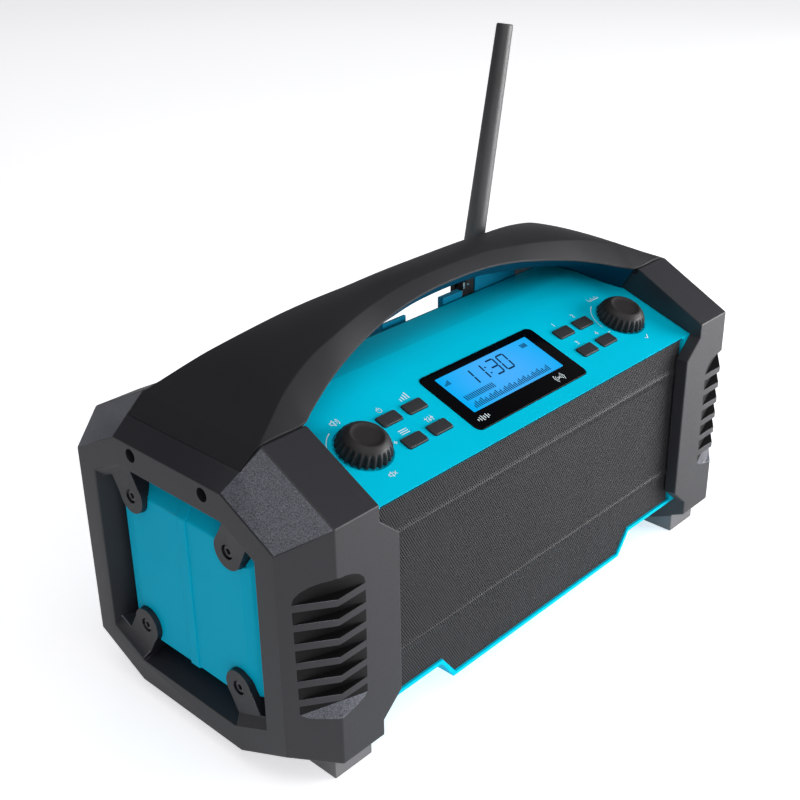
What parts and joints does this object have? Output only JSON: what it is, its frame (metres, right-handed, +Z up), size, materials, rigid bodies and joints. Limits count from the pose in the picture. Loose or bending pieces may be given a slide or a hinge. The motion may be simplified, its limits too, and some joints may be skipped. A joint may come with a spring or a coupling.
{
  "type": "jobsite radio",
  "caption": "Rugged portable radio with end bumpers, arched carry handle, sloping control panel with knobs and display, front grille and folding aerial.",
  "frame": {"origin": "middle of the footprint at floor level", "axes": "+Z up, front with the grille faces -Y, left end at -X"},
  "size_m": [0.34, 0.1628, 0.2855],
  "materials": {
    "cyan_plastic": "satin moulded plastic",
    "seal_rubber": "matt rubber",
    "bumper_rubber": "fine leather grain",
    "foot_rubber": "matt",
    "screw_steel": "zinc plated",
    "black_steel": "black oxide",
    "handle_plastic": "fine grain",
    "grille_metal": "perforated, powder coated",
    "speaker_steel": "black",
    "cone_paper": "pressed fibre",
    "magnet_ferrite": "matt",
    "lens_black": "high gloss",
    "lcd_blue": "backlit",
    "circuit_board": "solder mask",
    "component_grey": "satin",
    "component_iron": "varnished",
    "battery_case": "satin",
    "contact_brass": "plated",
    "shaft_aluminium": "turned",
    "knob_rubber": "soft touch",
    "button_rubber": "soft touch",
    "black_plastic": "satin",
    "aerial_rubber": "matt"
  },
  "bodies": {
    "case": {"front_case": "cyan_plastic", "rear_case": "cyan_plastic", "aerial_rail": "cyan_plastic", "aerial_clip": "cyan_plastic", "case_seal": "seal_rubber", "left_bumper": "bumper_rubber", "right_bumper": "bumper_rubber", "left_side_cover": "cyan_plastic", "right_side_cover": "cyan_plastic", "cover_screws": "screw_steel", "bumper_screws": "black_steel", "case_screws": "screw_steel", "handle_cover": "handle_plastic", "handle_liner": "cyan_plastic", "handle_screws": "screw_steel", "feet": "foot_rubber", "speaker_grille": "grille_metal", "left_speaker_frame": "speaker_steel", "left_speaker_cone": "cone_paper", "left_speaker_magnet": "magnet_ferrite", "right_speaker_frame": "speaker_steel", "right_speaker_cone": "cone_paper", "right_speaker_magnet": "magnet_ferrite", "display_lens": "lens_black", "lcd_module": "lcd_blue", "control_board": "circuit_board", "tact_switches": "component_grey", "main_board": "circuit_board", "power_board": "circuit_board", "transformer": "component_iron", "battery_pack": "battery_case", "battery_contacts": "contact_brass", "volume_encoder": "component_grey", "tuning_encoder": "component_grey", "aerial_bracket": "black_plastic", "aerial_screw": "screw_steel", "door_seal": "seal_rubber", "door_hinge_pin": "screw_steel", "dc_socket": "black_plastic", "aux_socket": "black_plastic", "usb_socket": "component_grey", "flap_strip": "seal_rubber"},
    "volume_shaft": {"volume_shaft": "shaft_aluminium"},
    "volume_knob": {"volume_knob": "knob_rubber"},
    "tuning_shaft": {"tuning_shaft": "shaft_aluminium"},
    "tuning_knob": {"tuning_knob": "knob_rubber"},
    "aerial": {"aerial_rod": "aerial_rubber"},
    "rear_door": {"rear_door": "black_plastic"},
    "socket_flap": {"socket_flap": "seal_rubber"},
    "power_button": {"power_button": "button_rubber"},
    "mode_button": {"mode_button": "button_rubber"},
    "menu_button": {"menu_button": "button_rubber"},
    "sound_button": {"sound_button": "button_rubber"},
    "preset_button_1": {"preset_button_1": "button_rubber"},
    "preset_button_2": {"preset_button_2": "button_rubber"},
    "preset_button_3": {"preset_button_3": "button_rubber"},
    "preset_button_4": {"preset_button_4": "button_rubber"}
  },
  "joints": [
    {"name": "volume_push", "type": "slide", "parent": "case", "child": "volume_shaft", "axis": [0, 0.3256, -0.9455], "range_m": [0, 0.0006], "stiffness_N_per_m": 2500, "springref_m": -0.0004},
    {"name": "volume_turn", "type": "hinge", "parent": "volume_shaft", "child": "volume_knob", "pos_m": [-0.0983, -0.04641, 0.1362], "axis": [0, -0.3256, 0.9455], "continuous": true},
    {"name": "tuning_push", "type": "slide", "parent": "case", "child": "tuning_shaft", "axis": [0, 0.3256, -0.9455], "range_m": [0, 0.0006], "stiffness_N_per_m": 2500, "springref_m": -0.0004},
    {"name": "tuning_turn", "type": "hinge", "parent": "tuning_shaft", "child": "tuning_knob", "pos_m": [0.0983, -0.04641, 0.1362], "axis": [0, -0.3256, 0.9455], "continuous": true},
    {"name": "power_button_press", "type": "slide", "parent": "case", "child": "power_button", "axis": [0, 0.3256, -0.9455], "range_m": [0, 0.0008], "stiffness_N_per_m": 1500, "springref_m": -0.0003},
    {"name": "mode_button_press", "type": "slide", "parent": "case", "child": "mode_button", "axis": [0, 0.3256, -0.9455], "range_m": [0, 0.0008], "stiffness_N_per_m": 1500, "springref_m": -0.0003},
    {"name": "menu_button_press", "type": "slide", "parent": "case", "child": "menu_button", "axis": [0, 0.3256, -0.9455], "range_m": [0, 0.0008], "stiffness_N_per_m": 1500, "springref_m": -0.0003},
    {"name": "sound_button_press", "type": "slide", "parent": "case", "child": "sound_button", "axis": [0, 0.3256, -0.9455], "range_m": [0, 0.0008], "stiffness_N_per_m": 1500, "springref_m": -0.0003},
    {"name": "preset_button_1_press", "type": "slide", "parent": "case", "child": "preset_button_1", "axis": [0, 0.3256, -0.9455], "range_m": [0, 0.0008], "stiffness_N_per_m": 1500, "springref_m": -0.0003},
    {"name": "preset_button_2_press", "type": "slide", "parent": "case", "child": "preset_button_2", "axis": [0, 0.3256, -0.9455], "range_m": [0, 0.0008], "stiffness_N_per_m": 1500, "springref_m": -0.0003},
    {"name": "preset_button_3_press", "type": "slide", "parent": "case", "child": "preset_button_3", "axis": [0, 0.3256, -0.9455], "range_m": [0, 0.0008], "stiffness_N_per_m": 1500, "springref_m": -0.0003},
    {"name": "preset_button_4_press", "type": "slide", "parent": "case", "child": "preset_button_4", "axis": [0, 0.3256, -0.9455], "range_m": [0, 0.0008], "stiffness_N_per_m": 1500, "springref_m": -0.0003},
    {"name": "aerial_fold", "type": "hinge", "parent": "case", "child": "aerial", "pos_m": [0.0604, 0.0285, 0.1515], "axis": [0, 1, 0], "range_deg": [-101.5, 30]},
    {"name": "door_hinge", "type": "hinge", "parent": "case", "child": "rear_door", "pos_m": [-0.0562, 0.0737, 0.068], "axis": [0, 0, 1], "range_deg": [0, 105]},
    {"name": "flap_hinge", "type": "hinge", "parent": "case", "child": "socket_flap", "pos_m": [-0.082, 0.07115, 0.06245], "axis": [1, 0, 0], "range_deg": [0, 120]}
  ]
}
